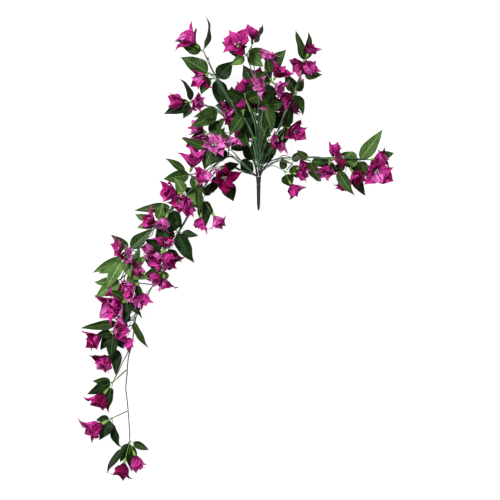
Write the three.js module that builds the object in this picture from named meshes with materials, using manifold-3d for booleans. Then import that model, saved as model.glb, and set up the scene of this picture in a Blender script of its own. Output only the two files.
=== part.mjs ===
// A trailing bougainvillea bush of cloth and plastic, as sold for hanging pots: eight wire-cored
// stems in one plastic pick, laid down on its back. Millimetres, +Z up, leaves resting on z = 0.
// The plan (x, y) is measured from the middle of the spread, with the pick pointing to -Y.

import * as THREE from 'three';
import { mergeVertices } from 'three/addons/utils/BufferGeometryUtils.js';
import Module from 'manifold-3d';

const wasm = await Module();
wasm.setup();

// ---- Driving dimensions ----

const PICK = {
  x: 17, z: 5.6,            // axis, which lies along Y
  tip: 79, shoulder: 132, head: 147,
  tipRadius: 2.2, neckRadius: 3.3, sleeveRadius: 4.2, headRadius: 5.4,
  sides: 16,
};
const GAP = 0.3;            // between solids that touch
const STEM_SIDES = 5;
const STEM_STEP = 20;       // length of one straight piece of a stem
const TWIG_RADIUS = 0.9;
const TWIG_SWEEP = 0.35;    // how far a twig leans along its stem, for each mm of reach
const KNOB_RADIUS = 2.6;    // the lime node where a spray's stalks join
const KNOB_TILT = 0.45;     // radians, so that no stalk meets an edge of it squarely
const LEAF_THICKNESS = 1.0;
const PETIOLE_WIDTH = 1.7;
const BRACT_LENGTH = 35;
const BRACT_WIDTH = 26;
const SPREAD = 0.32;        // a blossom opens by this share of its pitch as well
const BRACT_THICKNESS = 0.9;
const BRACT_WIDEST = 0.52;  // where a bract is widest, as a share of its length
const BLOOM_MIDDLE = 0.35;  // from a blossom's throat to its middle, for each mm of bract
const CALYX_LENGTH = 11;
const CALYX_RADIUS = 2.6;
const STALK_RADIUS = 0.8;
const FINEST = 0.1;         // slivers that fusing leaves behind are closed up to this size
const FLOOR = 0.9;          // lowest middle line of a leaf that lies on the table
const TRIES = 11;           // tilts tried for a leaf or blossom before it is skipped
const LEAF_TILT = 11;       // degrees for each further try
const BLOOM_LIFT = 9;       // mm for each further try

// Stems: radius at foot and tip, and the route of the wire.
const STEMS = {
  crown_left: [1.2, 0.9, [[15.5, 148.1, 9.2], [8, 182, 30], [-3, 212, 44], [-21, 262, 58],
    [-52, 320, 60], [-75, 360, 56], [-84, 384, 52]]],
  crown_middle: [1.2, 0.9, [[18.6, 148.1, 9.2], [17, 178, 34], [18, 222, 62], [17, 292, 90],
    [12, 322, 92], [2, 358, 88], [-5, 382, 84]]],
  crown_fork: [1.0, 0.8, [[14, 322.5, 92.9], [23, 338, 93], [29, 350, 91]]],
  crown_right: [1.2, 0.9, [[20.6, 148.1, 7.1], [28, 176, 24], [38, 198, 36], [59, 247, 58],
    [86, 308, 62], [98, 334, 58], [106, 362, 50]]],
  crown_back: [1.2, 0.9, [[18.5, 148.1, 2], [24, 176, 7], [28, 216, 11], [26, 262, 13],
    [18, 306, 14]]],
  crown_low_left: [1.2, 0.9, [[15.7, 148.1, 2], [4, 184, 8], [-18, 224, 14], [-40, 256, 20],
    [-58, 276, 24], [-84, 288, 26], [-102, 293, 26]]],
  trail_arch_front: [1.3, 1.1, [[13.4, 148.1, 7.1], [-6, 163, 22], [-26, 179, 36], [-42, 187, 42],
    [-58, 181, 44], [-78, 158, 42], [-98, 139, 40], [-118, 120, 38], [-129, 106, 36]]],
  trail_left: [1.1, 0.9, [[-129.4, 105.7, 35.9], [-150, 86, 42], [-172, 66, 48], [-196, 38, 52],
    [-214, 14, 52], [-236, -18, 46], [-250, -42, 38], [-258, -60, 30]]],
  trail_arch_back: [1.3, 1.1, [[13.5, 148.1, 4], [-12, 157, 9], [-30, 166, 14], [-46, 169, 16],
    [-64, 161, 16], [-84, 138, 16]]],
  trail_upper: [1.2, 1.2, [[-84.3, 137.6, 16], [-102, 112, 16], [-116, 84, 16], [-132, 52, 16],
    [-148, 26, 17], [-162, 2, 18], [-178, -36, 18], [-190, -64, 18]]],
  trail_lower: [1.2, 1.2, [[-190.3, -64.4, 18], [-206, -92, 19], [-220, -116, 20], [-229, -140, 20],
    [-235, -184, 18], [-243, -216, 16], [-246, -252, 14]]],
  trail_end: [1.2, 1.1, [[-246, -252.5, 14], [-248, -276, 13], [-245, -304, 13], [-242, -340, 13],
    [-240, -372, 14]]],
  right_branch: [1.2, 0.9, [[20.6, 148.1, 4.1], [29, 165, 11], [39, 176, 18], [54, 181, 22],
    [84, 184, 26], [124, 184, 28], [166, 184, 28], [190, 183, 28], [212, 179, 28]]],
};

// Sprays of foliage: the stem that carries each, its tufts, and its sweep where that isn't
// TWIG_SWEEP. A tuft is the place of its node, its leaves [heading, petiole, length, width, roll]
// and its blossoms [heading, reach, pitch, size]. Headings are degrees in plan from +X, pitch is
// degrees up from the plan, size is a factor.
const SPRAYS = {
  crown_tip_left: ['crown_left', [
    [[-93, 396, 52], [[74, 4, 68, 26, 72], [154, 6, 58, 26, 68], [166, 5, 44, 24]],
      [[140, 40, 18, 1.45]]]]],
  crown_left_high: ['crown_left', [
    [[-82, 352, 62], [[149, 3, 64, 34], [250, 8, 40, 24]], [[217, 20, 32, 1]]]], 0.8],
  crown_left_mid: ['crown_left', [
    [[-66, 342, 40], [[46, 3, 46, 32], [-80, 3, 60, 28], [-64, 8, 56, 26, 30]],
      [[185, 26, 13, 0.8]]]], 1.2],
  crown_top: ['crown_middle', [
    [[-7, 387, 90], [[152, 4, 54, 28], [215, 6, 34, 20], [6, 4, 46, 28], [-34, 5, 38, 24]],
      [[129, 28, 58, 1.35]]],
    [[3, 404, 78], [[57, 10, 50, 24, 66]], [[83, 28, 3, 1.05]]]]],
  crown_top_right: ['crown_fork', [
    [[31, 354, 92], [[47, 4, 58, 32], [225, 4, 38, 24]], [[80, 30, 20, 0.95]]],
    [[44, 332, 104], [[100, 20, 36, 22]],
      [[59, 24, 36, 1], [-32, 20, 26, 0.95], [196, 26, 26, 1]]]], 0.8],
  crown_tip_right: ['crown_right', [
    [[107, 374, 56], [[101, 5, 64, 24, 40], [73, 5, 58, 24, 42], [-24, 4, 30, 16]],
      [[60, 32, 18, 1], [210, 15, 34, 1.05]]],
    [[102, 350, 62], [[-4, 7, 36, 20]], [[33, 17, 22, 1.05]]]]],
  crown_right_mid: ['crown_right', [
    [[91, 312, 50], [[-66, 5, 42, 20], [60, 5, 30, 18], [118, 4, 44, 24]], [[214, 20, 23, 0.95]]]]],
  crown_edge_left: ['crown_low_left', [
    [[-116, 295, 34], [[106, 4, 50, 22, 55], [203, 5, 58, 28], [243, 8, 32, 18]],
      [[178, 30, 13, 1.1], [-8, 14, 36, 1]]]]],
  crown_side_left: ['crown_low_left', [
    [[-62, 274, 50], [[188, 3, 50, 26], [208, 6, 62, 28]], [[10, 16, 39, 0.75]]]], 1.2],
  crown_low_left_spray: ['crown_low_left', [
    [[-84, 232, 36], [[205, 5, 44, 24], [40, 4, 44, 24]],
      [[148, 24, 23, 1], [248, 16, 50, 1], [218, 36, 12, 1.15]]]], 1.5],
  crown_foot_left: ['trail_arch_front', [
    [[-76, 200, 62], [[160, 12, 56, 18], [60, 5, 50, 24], [248, 4, 42, 26]],
      [[56, 12, 70, 1]]]], 0.5],
  crown_foot_mid: ['trail_arch_front', [
    [[-42, 200, 66], [[117, 3, 58, 22], [215, 6, 44, 26]], [[80, 16, 42, 0.8]]]], 0.1],
  crown_heart_high: ['crown_middle', [
    [[-8, 298, 70], [[155, 6, 44, 26], [20, 5, 44, 26]], [[108, 27, 13, 0.95]]],
    [[-14, 268, 62], [[235, 4, 50, 26], [160, 5, 42, 24], [-70, 5, 44, 24]],
      [[98, 22, 15, 0.8]]]], 2],
  crown_heart_front: ['crown_middle', [
    [[27, 284, 72], [[97, 4, 54, 22], [58, 4, 42, 26], [-70, 6, 48, 34], [10, 6, 40, 24]],
      []]], 1.5],
  crown_heart_low: ['crown_back', [
    [[10, 270, 30], [[150, 4, 52, 28], [60, 4, 50, 28], [-30, 5, 46, 26], [220, 5, 44, 26]],
      [[95, 26, 6, 1]]]], 1.2],
  crown_heart_right: ['crown_middle', [
    [[52, 288, 46], [[20, 4, 40, 24], [140, 4, 42, 26]],
      [[-37, 20, 36, 0.95], [200, 18, 32, 0.8]]]], 2],
  crown_right_low: ['crown_right', [
    [[70, 246, 42], [[-100, 5, 40, 24], [70, 5, 42, 24], [160, 5, 40, 24]],
      [[-24, 22, 45, 1.05], [-104, 40, 6, 0.9]]]], 1.2],
  crown_front_low: ['crown_middle', [
    [[34, 218, 40], [[-60, 5, 36, 22], [110, 5, 46, 28]], [[0, 16, 26, 0.8]]],
    [[2, 226, 38], [[200, 4, 52, 28], [95, 4, 50, 28], [330, 5, 50, 26]], []]], 1.2],
  crown_foot_front: ['crown_middle', [
    [[8, 176, 16], [[212, 5, 40, 34], [30, 5, 56, 30], [120, 5, 44, 24], [75, 6, 44, 26]], []]]],
  crown_back_high: ['crown_back', [
    [[12, 322, 20], [
      [120, 4, 54, 30], [50, 4, 54, 30], [200, 5, 46, 26], [-10, 5, 48, 28], [260, 5, 46, 26]],
      [[85, 26, 0, 1]]]]],
  crown_back_left: ['crown_back', [
    [[-24, 282, 16], [
      [110, 4, 50, 28], [170, 5, 44, 26], [250, 5, 48, 28], [60, 5, 46, 26], [-30, 6, 44, 24]],
      [[235, 28, 20, 0.9]]]], 1.2],
  crown_back_right: ['crown_back', [
    [[66, 276, 14], [[60, 4, 50, 28], [-75, 4, 40, 24], [130, 5, 46, 26], [220, 6, 48, 28]],
      [[20, 24, 0, 1]]]], 1.2],
  crown_back_low: ['crown_back', [
    [[0, 218, 12], [
      [200, 4, 50, 28], [140, 5, 46, 28], [20, 5, 40, 24], [80, 5, 48, 28], [-40, 5, 40, 24]],
      [[160, 24, 0, 0.9]]]]],
  bend_left: ['trail_arch_front', [
    [[-120, 150, 50], [[143, 12, 50, 17, 30], [190, 2, 54, 28], [-52, 6, 44, 24]],
      [[75, 31, 26, 1.25]]],
    [[-104, 134, 56], [[-86, 10, 54, 16]], [[56, 14, 39, 1.15]]]]],
  bend_right: ['trail_arch_back', [
    [[-58, 160, 32], [[-68, 28, 42, 30], [20, 5, 36, 20], [-112, 14, 38, 20]],
      [[-69, 20, 60, 1.25]]]]],
  bend_low: ['trail_upper', [
    [[-94, 102, 30], [[-84, 5, 54, 28], [-58, 6, 38, 18], [60, 8, 34, 18], [150, 6, 42, 26]],
      [[-96, 50, 0, 1], [-57, 55, 14, 1]]]]],
  bend_far_left: ['trail_left', [
    [[-130, 112, 48], [[-42, 6, 40, 24], [122, 4, 36, 24]],
      [[176, 31, 20, 1.25], [240, 18, 48, 1.05]]],
    [[-156, 86, 42], [[184, 4, 74, 20], [230, 6, 44, 18], [-70, 8, 44, 24]],
      [[-5, 30, 32, 1.1], [243, 38, 13, 1]]]]],
  trail_left_high: ['trail_left', [
    [[-184, 56, 40], [[165, 24, 26, 14], [195, 5, 40, 20], [75, 6, 38, 20], [-60, 6, 40, 22]],
      [[172, 18, 31, 1]]]]],
  trail_mid_high: ['trail_upper', [
    [[-145, 36, 34], [[-64, 4, 68, 32], [125, 4, 36, 28], [-10, 10, 36, 16], [202, 6, 50, 26]],
      []]]],
  trail_mid_bloom: ['trail_upper', [
    [[-171, 0, 44], [[210, 5, 34, 18], [108, 6, 44, 22], [-30, 6, 38, 20], [150, 6, 42, 20]],
      [[232, 23, 32, 1.15], [-67, 20, 20, 1.15], [74, 16, 36, 0.9], [180, 30, 20, 0.9]]]]],
  trail_left_mid: ['trail_left', [
    [[-240, 1, 40], [[141, 4, 46, 18], [44, 4, 60, 26]], [[170, 24, 26, 1]]],
    [[-251, -14, 58], [[207, 5, 68, 22], [240, 12, 66, 26], [-72, 6, 40, 22], [217, 14, 48, 22]],
      [[10, 8, 39, 0.8]]]]],
  trail_left_low: ['trail_left', [
    [[-257, -58, 56], [[216, 5, 62, 28], [190, 8, 50, 20]], []],
    [[-254, -70, 24], [], [[189, 18, 14, 1]]],
    [[-243, -44, 48], [[61, 4, 50, 24], [-17, 4, 44, 22], [40, 20, 32, 16], [-62, 5, 38, 22]],
      [[16, 18, 29, 0.95]]]]],
  trail_mid_low: ['trail_upper', [
    [[-173, -38, 36], [[-94, 4, 28, 24], [30, 5, 30, 18], [150, 6, 42, 22], [200, 6, 40, 20]],
      [[231, 25, 26, 1], [-83, 32, 10, 1]]]]],
  trail_knot: ['trail_lower', [
    [[-222, -66, 42], [[-92, 5, 46, 18, 30], [100, 6, 34, 20], [214, 5, 46, 20]],
      [[207, 20, 39, 1.15], [-71, 34, 3, 0.95]]]]],
  trail_wide: ['trail_lower', [
    [[-246, -100, 46], [[-44, 4, 46, 16], [150, 6, 42, 22], [-92, 6, 46, 22]],
      [[207, 30, 29, 1.6], [-6, 20, 26, 0.8]]]]],
  trail_long_leaf: ['trail_lower', [
    [[-233, -140, 38], [[163, 5, 32, 18], [-67, 4, 62, 18, 35], [190, 34, 76, 20]], []]]],
  trail_three: ['trail_lower', [
    [[-272, -162, 40], [[-96, 6, 56, 24], [196, 6, 38, 18], [-62, 6, 40, 20], [-126, 6, 44, 22]],
      [[203, 42, 20, 1.15], [12, 12, 39, 1.1], [-38, 36, 6, 0.9]]],
    [[-266, -194, 30], [[-91, 5, 54, 22]], [[231, 40, 20, 1.25]]]]],
  trail_end_left: ['trail_lower', [
    [[-274, -264, 22], [[176, 5, 38, 18], [206, 6, 54, 24], [-102, 12, 52, 22, 35]],
      [[234, 46, 16, 1.35]]]]],
  trail_end_low: ['trail_end', [
    [[-276, -336, 22], [[241, 6, 46, 26], [-77, 12, 56, 22, 40], [185, 6, 30, 16]],
      [[211, 42, 16, 1.5]]]]],
  trail_tip: ['trail_end', [
    [[-240, -381, 22], [
      [-86, 8, 58, 24], [231, 22, 60, 18, 30], [-26, 8, 38, 16], [-114, 6, 44, 22]],
      [[-104, 62, 10, 1.2], [-71, 46, 0, 1.1]]]]],
  right_foot: ['right_branch', [
    [[84, 172, 40], [[-70, 4, 30, 24], [60, 5, 26, 16]], []],
    [[69, 155, 34], [[-66, 5, 30, 26], [100, 6, 28, 16]],
      [[-62, 41, 18, 1.05], [-8, 34, 20, 0.85], [16, 40, 32, 0.85]]]], 1],
  right_mid: ['right_branch', [
    [[118, 178, 52], [[-64, 4, 60, 24], [-10, 5, 34, 16], [140, 6, 30, 16]], []]]],
  right_high: ['right_branch', [
    [[162, 180, 42], [[-60, 28, 58, 24], [200, 5, 34, 18], [-102, 5, 40, 26]],
      [[246, 24, 23, 1], [70, 20, 10, 0.95], [0, 14, 39, 0.75]]]], 1],
  right_tip_low: ['right_branch', [
    [[194, 172, 26], [[-62, 22, 56, 22], [205, 5, 36, 18]],
      [[-103, 48, 6, 0.85], [-55, 32, 26, 1]]]]],
  right_tip: ['right_branch', [
    [[219, 180, 36], [
      [52, 2, 76, 29, 12], [190, 4, 42, 24], [160, 6, 38, 20], [-112, 5, 38, 24], [-68, 4, 36, 22]],
      []],
    [[240, 180, 44], [[17, 16, 36, 20], [-40, 8, 34, 18]],
      [[11, 22, 20, 1.05], [-62, 28, 72, 1.3]]]]],
};

// ---- Helpers ----

const UP = new THREE.Vector3(0, 0, 1);
const radians = THREE.MathUtils.degToRad;
const at = (x, y, z) => new THREE.Vector3(x, y, z);

// A point moved by so much along each of some directions.
function moved(point, ...steps) {
  const result = point.clone();
  for (const [direction, amount] of steps) result.addScaledVector(direction, amount);
  return result;
}

// Park and Miller's generator: the same seed gives the same plant.
function dice(seed) {
  let state = seed * 7919 + 104729;
  const roll = () => {
    state = (state * 16807) % 2147483647;
    return state / 2147483647;
  };
  roll();
  roll();
  return roll;
}

const between = (roll, low, high) => low + (high - low) * roll();

function pointing(heading, pitch) {
  const flat = Math.cos(radians(pitch));
  return at(flat * Math.cos(radians(heading)), flat * Math.sin(radians(heading)),
    Math.sin(radians(pitch)));
}

// A closed shape from points and triangles, as a solid that can be joined and cut.
function solid(points, faces) {
  const mesh = new wasm.Mesh({
    numProp: 3,
    vertProperties: Float32Array.from(points.flatMap((p) => [p.x, p.y, p.z])),
    triVerts: Uint32Array.from(faces.flat()),
  });
  return new wasm.Manifold(mesh);
}

function solidOf(geometry) {
  const bare = geometry.clone();
  bare.deleteAttribute('normal');
  bare.deleteAttribute('uv');
  const merged = mergeVertices(bare, 1e-4);
  return new wasm.Manifold(new wasm.Mesh({
    numProp: 3,
    vertProperties: merged.attributes.position.array,
    triVerts: Uint32Array.from(merged.index.array),
  }));
}

// The largest closed body of a solid: loose scraps are dropped, sealed hollows filled.
function largestBody(joined) {
  const bodies = joined.asOriginal().simplify(FINEST).decompose();
  return bodies.reduce((best, body) => (body.volume() > best.volume() ? body : best));
}

function geometryOf(body) {
  const mesh = body.getMesh();
  const geometry = new THREE.BufferGeometry();
  const positions = new Float32Array(mesh.numVert * 3);
  for (let i = 0; i < mesh.numVert; i += 1) {
    for (let axis = 0; axis < 3; axis += 1) {
      positions[i * 3 + axis] = mesh.vertProperties[i * mesh.numProp + axis];
    }
  }
  geometry.setAttribute('position', new THREE.BufferAttribute(positions, 3));
  geometry.setIndex(new THREE.BufferAttribute(Uint32Array.from(mesh.triVerts), 1));
  geometry.computeVertexNormals();
  return geometry;
}

// ---- Stems ----

// The middle line of a route: straight pieces of about the given length on a smooth curve.
function middleLine(route, step) {
  const curve = new THREE.CatmullRomCurve3(route.map((p) => at(...p)), false, 'catmullrom', 0.5);
  const line = [curve.getPoint(0)];
  for (let i = 1; i < route.length; i += 1) {
    const length = at(...route[i]).distanceTo(at(...route[i - 1]));
    const pieces = Math.max(1, Math.round(length / step));
    for (let k = 1; k <= pieces; k += 1) {
      line.push(curve.getPoint((i - 1 + k / pieces) / (route.length - 1)));
    }
  }
  return line;
}

// A limb round a line: flat sides, a radius at each point, and flat ends.
function limb(line, radii, sides) {
  const points = [];
  const faces = [];
  let across = null;
  line.forEach((point, i) => {
    const before = line[Math.max(i - 1, 0)];
    const after = line[Math.min(i + 1, line.length - 1)];
    const along = after.clone().sub(before).normalize();
    if (!across) across = Math.abs(along.z) > 0.9 ? at(1, 0, 0) : UP.clone();
    across = moved(across, [along, -across.dot(along)]).normalize();
    const beside = along.clone().cross(across);
    for (let k = 0; k < sides; k += 1) {
      const turn = (2 * Math.PI * k) / sides;
      points.push(moved(point, [across, radii[i] * Math.cos(turn)],
        [beside, radii[i] * Math.sin(turn)]));
    }
  });
  for (let i = 0; i + 1 < line.length; i += 1) {
    for (let k = 0; k < sides; k += 1) {
      const a = i * sides + k;
      const b = i * sides + ((k + 1) % sides);
      faces.push([a, b, b + sides], [a, b + sides, a + sides]);
    }
  }
  const last = (line.length - 1) * sides;
  for (let k = 1; k + 1 < sides; k += 1) {
    faces.push([0, k + 1, k], [last, last + k, last + k + 1]);
  }
  return solid(points, faces);
}

function taper(line, foot, tip) {
  return line.map((_, i) => foot + ((tip - foot) * i) / (line.length - 1));
}

// The pick: one turned piece with a rounded-off tip, a fixing collar and a flared head.
function pick() {
  const profile = [
    [0, PICK.tip], [PICK.tipRadius, PICK.tip], [PICK.neckRadius, PICK.tip + 12],
    [PICK.sleeveRadius, PICK.shoulder - 2], [PICK.neckRadius + 0.4, PICK.shoulder],
    [PICK.headRadius, PICK.head], [0, PICK.head],
  ].map(([radius, y]) => new THREE.Vector2(radius, y));
  const geometry = new THREE.LatheGeometry(profile, PICK.sides);
  geometry.translate(PICK.x, 0, PICK.z);
  return solidOf(geometry);
}

// ---- Leaves and blossoms ----

// A leaf or bract lies along `along`, with `side` across it and its face towards `face`.
function facing(along, rollAngle) {
  const level = at(-along.y, along.x, 0);
  if (level.length() < 1e-3) level.set(0, 1, 0);
  level.normalize();
  const upright = along.clone().cross(level);
  const turn = radians(rollAngle);
  const side = moved(at(0, 0, 0), [level, Math.cos(turn)], [upright, Math.sin(turn)]);
  return { along, side, face: along.clone().cross(side) };
}

// A thin closed blade. Each station is [distance from the root, half width]; its middle line
// bends back by `arch` and its edges rise by `fold`; a blade that would pass through the table
// lies on it. `margin` swells it, for testing what is near.
function blade(root, axes, shape, margin = 0) {
  const { stations, length, arch, fold, thickness } = shape;
  const half = thickness / 2 + margin;
  const middle = (distance) => {
    const share = distance / length;
    return moved(root, [axes.along, distance], [axes.face, -arch * length * share * share]);
  };
  const settle = (point) => {
    if (axes.face.z > 0.5) point.z = Math.max(point.z, FLOOR);
    return point;
  };
  const points = [settle(middle(-margin))];
  const faces = [];
  stations.forEach(([distance, width], i) => {
    const spine = settle(middle(distance));
    const rise = fold * width;
    points.push(
      settle(moved(middle(distance), [axes.side, width + margin], [axes.face, rise])),
      moved(spine, [axes.face, half]),
      settle(moved(middle(distance), [axes.side, -width - margin], [axes.face, rise])),
      moved(spine, [axes.face, -half]),
    );
    const [left, top, right, under] = [1, 2, 3, 4].map((k) => i * 4 + k);
    if (i === 0) {
      faces.push([0, top, left], [0, right, top], [0, left, under], [0, under, right]);
    } else {
      const [l0, t0, r0, u0] = [left - 4, top - 4, right - 4, under - 4];
      faces.push([l0, t0, top], [l0, top, left], [t0, r0, right], [t0, right, top],
        [r0, u0, under], [r0, under, right], [u0, l0, left], [u0, left, under]);
    }
  });
  const tip = points.length;
  const [left, top, right, under] = [4, 3, 2, 1].map((k) => tip - k);
  points.push(settle(middle(length + margin)));
  faces.push([left, top, tip], [top, right, tip], [right, under, tip], [under, left, tip]);
  return solid(points, faces);
}

// A leaf on its stalk, from the node: [heading, petiole, length, width, roll].
function leaf(node, row, roll, tilt, margin) {
  const [heading, petiole, length, width, turn = between(roll, -22, 22)] = row;
  const pitch = between(roll, -10, 16) + tilt * LEAF_TILT;
  const axes = facing(pointing(heading, pitch), turn);
  return [blade(moved(node, [axes.along, -2]), axes, {
    stations: [[petiole + 2, PETIOLE_WIDTH / 2], [petiole + length * 0.4, width / 2]],
    length: petiole + length,
    arch: between(roll, 0.02, 0.16),
    fold: between(roll, 0.1, 0.4),
    thickness: LEAF_THICKNESS,
  }, margin)];
}

// A blossom on its stalk: [heading, reach, pitch, size]. Three bracts open from a calyx.
function blossom(node, row, roll, lift, margin) {
  const [heading, reach, pitch, size] = row;
  const axis = pointing(heading, pitch);
  const back = BRACT_LENGTH * BLOOM_MIDDLE * size * Math.cos(radians(pitch));
  const centre = moved(node, [pointing(heading, 0), reach - back],
    [UP, between(roll, -3, 5) + 12 * Math.sin(radians(pitch)) + lift * BLOOM_LIFT]);
  centre.z = Math.max(centre.z, 9 * size);
  const foot = moved(centre, [axis, -CALYX_LENGTH * size]);
  const belly = moved(centre, [axis, -CALYX_LENGTH * size * 0.35]);
  const radii = [STALK_RADIUS, STALK_RADIUS, CALYX_RADIUS * size, CALYX_RADIUS * size * 0.8];
  const parts = [limb([node, foot, belly, centre], radii.map((r) => r + margin), 3)];
  const { side, face } = facing(axis, between(roll, 0, 360));
  for (let k = 0; k < 3; k += 1) {
    const turn = radians(120 * k + between(roll, -14, 14));
    const open = radians(between(roll, 26, 48) + SPREAD * pitch);
    const out = moved(at(0, 0, 0), [side, Math.cos(turn)], [face, Math.sin(turn)]);
    const along = moved(at(0, 0, 0), [axis, Math.cos(open)], [out, Math.sin(open)]);
    const across = axis.clone().cross(out);
    const length = BRACT_LENGTH * size * between(roll, 0.88, 1.14);
    const width = BRACT_WIDTH * size * between(roll, 0.85, 1.05);
    const axes = { along, side: across, face: along.clone().cross(across) };
    parts.push(blade(moved(centre, [axis, -2 * size], [out, 0.5 * size]), axes, {
      stations: [[length * BRACT_WIDEST, width / 2]],
      length,
     arch: between(roll, -0.2, 0.12),
      fold: between(roll, 0.25, 0.6),
      thickness: BRACT_THICKNESS,
    }, margin));
  }
  return parts;
}

// ---- Growth ----

// What is already in place: solids with their boxes and the name of the mesh they belong to.
const placed = [];

function place(owner, body) {
  placed.push({ owner, body, box: body.boundingBox() });
}

const apart = (a, b) => [0, 1, 2].some((k) => a.max[k] < b.min[k] || b.max[k] < a.min[k]);

function isFree(owner, swollenParts) {
  return swollenParts.every((part) => {
    const box = part.boundingBox();
    return box.min[2] >= 0 && placed.every((other) => other.owner === owner || apart(box, other.box)
      || part.intersect(other.body).isEmpty());
  });
}

// 0, 1, -1, 2, -2, ... : the tilts and lifts tried in turn.
const swing = (attempt) => (attempt % 2 ? (attempt + 1) / 2 : -attempt / 2);

// Makes a part of a spray at the first tilt where it clears everything of other meshes.
function grow(owner, make) {
  for (let attempt = 0; attempt < TRIES; attempt += 1) {
    if (isFree(owner, make(swing(attempt), GAP))) return make(swing(attempt), 0);
  }
  return [];
}

// The point of a stem where a twig for this node leaves it, the stem's direction and radius there.
function seat(stem, node, sweep) {
  const [foot, tip, route] = STEMS[stem];
  const line = middleLine(route, 2);
  let nearest = 0;
  line.forEach((point, i) => {
    if (point.distanceTo(node) < line[nearest].distanceTo(node)) nearest = i;
  });
  const back = Math.round((line[nearest].distanceTo(node) * sweep) / 2);
  const i = Math.min(Math.max(nearest - back, 1), line.length - 2);
  const along = line[i + 1].clone().sub(line[i - 1]).normalize();
  return { point: line[i], along, radius: foot + ((tip - foot) * i) / (line.length - 1) };
}

// The line of the twig from a stem to a node: it starts a gap clear of the stem's side.
function twigLine({ stem, sweep }, node, lift) {
  const { point, along, radius } = seat(stem, node, sweep);
  const reach = node.clone().sub(point);
  const lean = Math.abs(reach.clone().normalize().dot(along));
  const outward = moved(reach, [along, -reach.dot(along)]).normalize();
  const start = moved(point, [outward, radius + GAP + TWIG_RADIUS * lean]);
  const middle = moved(start.clone().lerp(node, 0.5), [UP, lift * 4]);
  return [start, middle, node];
}

const sprays = Object.entries(SPRAYS).map(([name, spray], index) => {
  const [stem, tufts, sweep = TWIG_SWEEP] = spray;
  const nodes = tufts.map(([spot, leaves, blossoms]) => ({ node: at(...spot), leaves, blossoms }));
  return { name, stem, sweep, index, tufts: nodes, parts: [] };
});

const stems = Object.entries(STEMS).map(([name, [foot, tip, route]]) => {
  const line = middleLine(route, STEM_STEP);
  return { name, body: limb(line, taper(line, foot, tip), STEM_SIDES) };
});
stems.forEach(({ name, body }) => place(name, body));
place('stem_pick', pick());

function keep(spray, bodies) {
  bodies.forEach((body) => {
    place(spray.name, body);
    spray.parts.push(body);
  });
}

for (const spray of sprays) {
  const radii = [TWIG_RADIUS * 1.1, TWIG_RADIUS, TWIG_RADIUS];
  spray.tufts.forEach(({ node }, t) => {
    const line = (lift) => (t === 0 ? twigLine(spray, node, lift)
      : [spray.tufts[0].node, node]);
    const twig = grow(spray.name, (lift, margin) => {
      const route = line(lift);
      return [limb(route, radii.slice(0, route.length).map((r) => r + margin), 3)];
    });
    const knob = new THREE.OctahedronGeometry(KNOB_RADIUS);
    knob.rotateX(KNOB_TILT).rotateZ(KNOB_TILT).translate(node.x, node.y, node.z);
    keep(spray, [...twig, solidOf(knob)]);
  });
}

for (const [kind, make, rows] of [
  [1, blossom, (tuft) => tuft.blossoms], [2, leaf, (tuft) => tuft.leaves]]) {
  for (const spray of sprays) {
    spray.tufts.forEach((tuft, t) => rows(tuft).forEach((row, e) => {
      const seed = spray.index * 100 + t * 40 + kind * 15 + e;
      const parts = grow(spray.name, (shift, margin) => (
        make(tuft.node, row, dice(seed), shift, margin)));
      keep(spray, parts);
    }));
  }
}

// ---- The plant ----

const plant = new THREE.Group();
const SLOTS = {
  pick: { color: 0x10160f, roughness: 0.55, metalness: 0 },
  stem: { color: 0x3f6b4a, roughness: 0.6, metalness: 0 },
  foliage: { color: 0x35602c, roughness: 0.75, metalness: 0 },
  blossom: { color: 0xb3178a, roughness: 0.7, metalness: 0 },
};

function show(name, body, slot) {
  const mesh = new THREE.Mesh(geometryOf(body), new THREE.MeshStandardMaterial(SLOTS[slot]));
  mesh.name = name;
  plant.add(mesh);
}

show('stem_pick', pick(), 'pick');
stems.forEach(({ name, body }) => show(name, body, 'stem'));
for (const { name, parts, tufts } of sprays) {
  const blossoms = tufts.flatMap((tuft) => tuft.blossoms).length;
  const leaves = tufts.flatMap((tuft) => tuft.leaves).length;
  const joined = parts.reduce((whole, part) => whole.add(part));
  show(name, largestBody(joined), blossoms >= leaves ? 'blossom' : 'foliage');
}

// The origin is at the middle of the plant's box, on the table.
const box = new THREE.Box3().setFromObject(plant);
const middle = box.getCenter(at(0, 0, 0));
plant.position.set(-middle.x, -middle.y, -box.min.z);
plant.updateMatrixWorld(true);

export default plant;
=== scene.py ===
"""Looks of a trailing bougainvillea bush of cloth and plastic, laid down and seen from above.

The bush grows again here by the rule of its solids: the same stems, sprays, leaves and
blossoms, in the same places, carried to finer detail. Lengths are millimetres in the plan
frame of the solids until a mesh is made; `OFFSET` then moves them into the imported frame.
"""

import math

import bpy
import numpy as np
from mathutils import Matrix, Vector, kdtree


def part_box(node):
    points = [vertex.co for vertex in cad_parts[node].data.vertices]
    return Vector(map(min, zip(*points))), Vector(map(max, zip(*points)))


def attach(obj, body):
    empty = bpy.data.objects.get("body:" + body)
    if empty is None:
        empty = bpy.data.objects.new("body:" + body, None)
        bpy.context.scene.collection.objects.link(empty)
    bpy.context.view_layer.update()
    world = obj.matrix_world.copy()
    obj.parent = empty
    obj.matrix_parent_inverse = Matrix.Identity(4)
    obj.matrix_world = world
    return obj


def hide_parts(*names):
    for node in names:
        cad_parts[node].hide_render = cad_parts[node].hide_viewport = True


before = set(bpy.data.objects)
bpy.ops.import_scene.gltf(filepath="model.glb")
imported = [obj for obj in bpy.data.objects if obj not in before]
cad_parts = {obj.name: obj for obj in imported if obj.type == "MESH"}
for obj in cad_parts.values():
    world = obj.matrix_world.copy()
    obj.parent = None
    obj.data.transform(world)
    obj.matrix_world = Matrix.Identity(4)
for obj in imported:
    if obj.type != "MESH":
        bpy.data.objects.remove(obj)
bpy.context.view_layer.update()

# ---- The plant's plan, as its solids have it ----

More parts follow.
